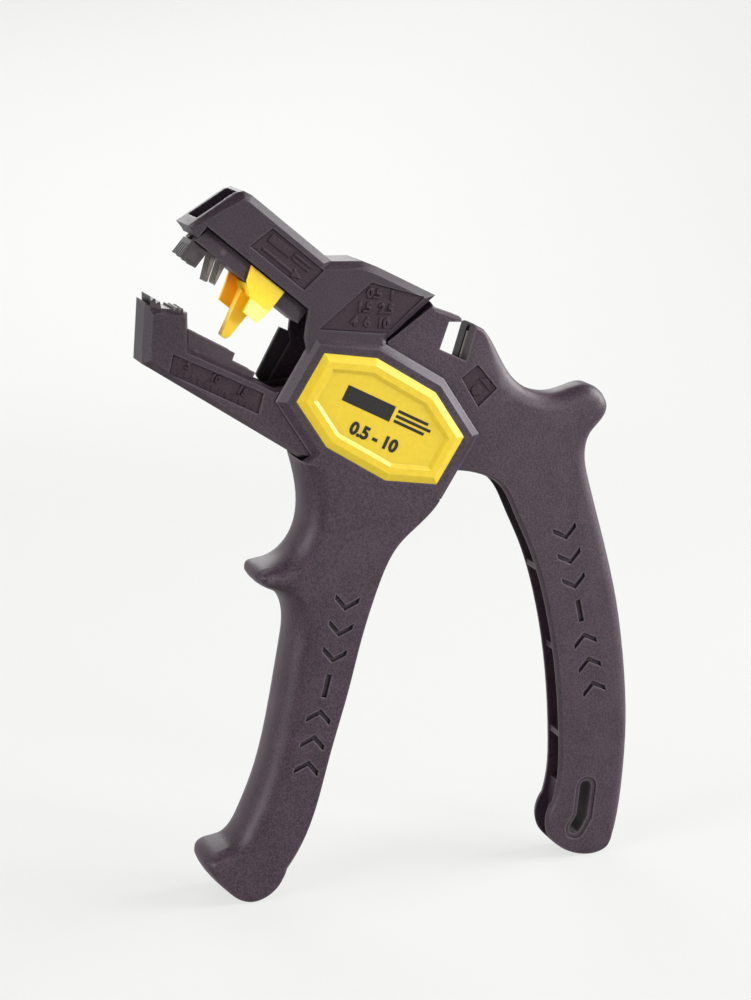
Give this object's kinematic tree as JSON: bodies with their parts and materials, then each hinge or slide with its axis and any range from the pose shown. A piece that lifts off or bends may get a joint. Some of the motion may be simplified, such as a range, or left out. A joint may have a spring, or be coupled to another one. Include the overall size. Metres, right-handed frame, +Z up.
{
  "type": "automatic wire stripper",
  "caption": "Pistol-grip automatic wire stripper: sprung rear lever, pivoting lower jaw, sliding blade carriages, length stop and side cutter in a dark moulded body with a plain badge.",
  "frame": {"origin": "on the standing surface, under the middle of the tool's box", "axes": "+Z up, +X from the jaws towards the rear handle, +Y through the thickness towards the back; the badge faces -Y"},
  "size_m": [0.1372, 0.0202, 0.1903],
  "materials": {
    "dark_nylon": "fine-grained matt moulding",
    "yellow_plastic": "satin",
    "dark_steel": "blackened",
    "blade_steel": "ground",
    "bright_steel": "turned",
    "spring_steel": "drawn wire",
    "bearing_brass": "turned"
  },
  "bodies": {
    "front_body": {"front_lever": "dark_nylon", "badge": "yellow_plastic", "pivot_pin": "bright_steel", "pivot_retaining_ring": "spring_steel", "pivot_washers": "bright_steel", "upper_clamp": "dark_steel", "cutter_blade": "blade_steel", "return_spring": "spring_steel"},
    "rear_handle": {"rear_lever": "dark_nylon", "pivot_bush": "bearing_brass", "traction_pin": "bright_steel", "traction_roller": "bright_steel"},
    "lower_jaw_body": {"lower_jaw": "dark_nylon", "lower_clamp": "dark_steel", "jaw_spring": "spring_steel"},
    "upper_slide": {"upper_carriage": "dark_nylon", "upper_blades": "blade_steel", "upper_blade_pin": "bright_steel"},
    "lower_slide": {"lower_carriage": "dark_nylon", "lower_blades": "blade_steel", "lower_blade_pin": "bright_steel"},
    "stop": {"length_stop": "yellow_plastic"}
  },
  "joints": [
    {"name": "handle_squeeze", "type": "hinge", "parent": "front_body", "child": "rear_handle", "pos_m": [-0.0065, 0, 0.13], "axis": [0, 1, 0], "range_deg": [0, 24], "stiffness_Nm_per_rad": 0.8, "springref_deg": -14.32, "deforming": ["return_spring"]},
    {"name": "jaw_close", "type": "hinge", "parent": "front_body", "child": "lower_jaw_body", "pos_m": [-0.0065, 0, 0.13], "axis": [0, 1, 0], "range_deg": [0, 10.01], "deforming": ["jaw_spring"]},
    {"name": "upper_draw", "type": "slide", "parent": "front_body", "child": "upper_slide", "axis": [0.766, 0, -0.6428], "range_m": [0, 0.00951]},
    {"name": "lower_draw", "type": "slide", "parent": "lower_jaw_body", "child": "lower_slide", "axis": [0.8829, 0, -0.4695], "range_m": [0, 0.00951]},
    {"name": "stop_set", "type": "slide", "parent": "upper_slide", "child": "stop", "axis": [-0.766, 0, 0.6428], "range_m": [-0.004, 0.002]}
  ],
  "couplings": [
    {"joint": "jaw_close", "follows": "handle_squeeze", "ratio": 0.41667},
    {"joint": "upper_draw", "follows": "handle_squeeze", "m_per_rad": 0.02268},
    {"joint": "lower_draw", "follows": "handle_squeeze", "m_per_rad": 0.02268}
  ]
}
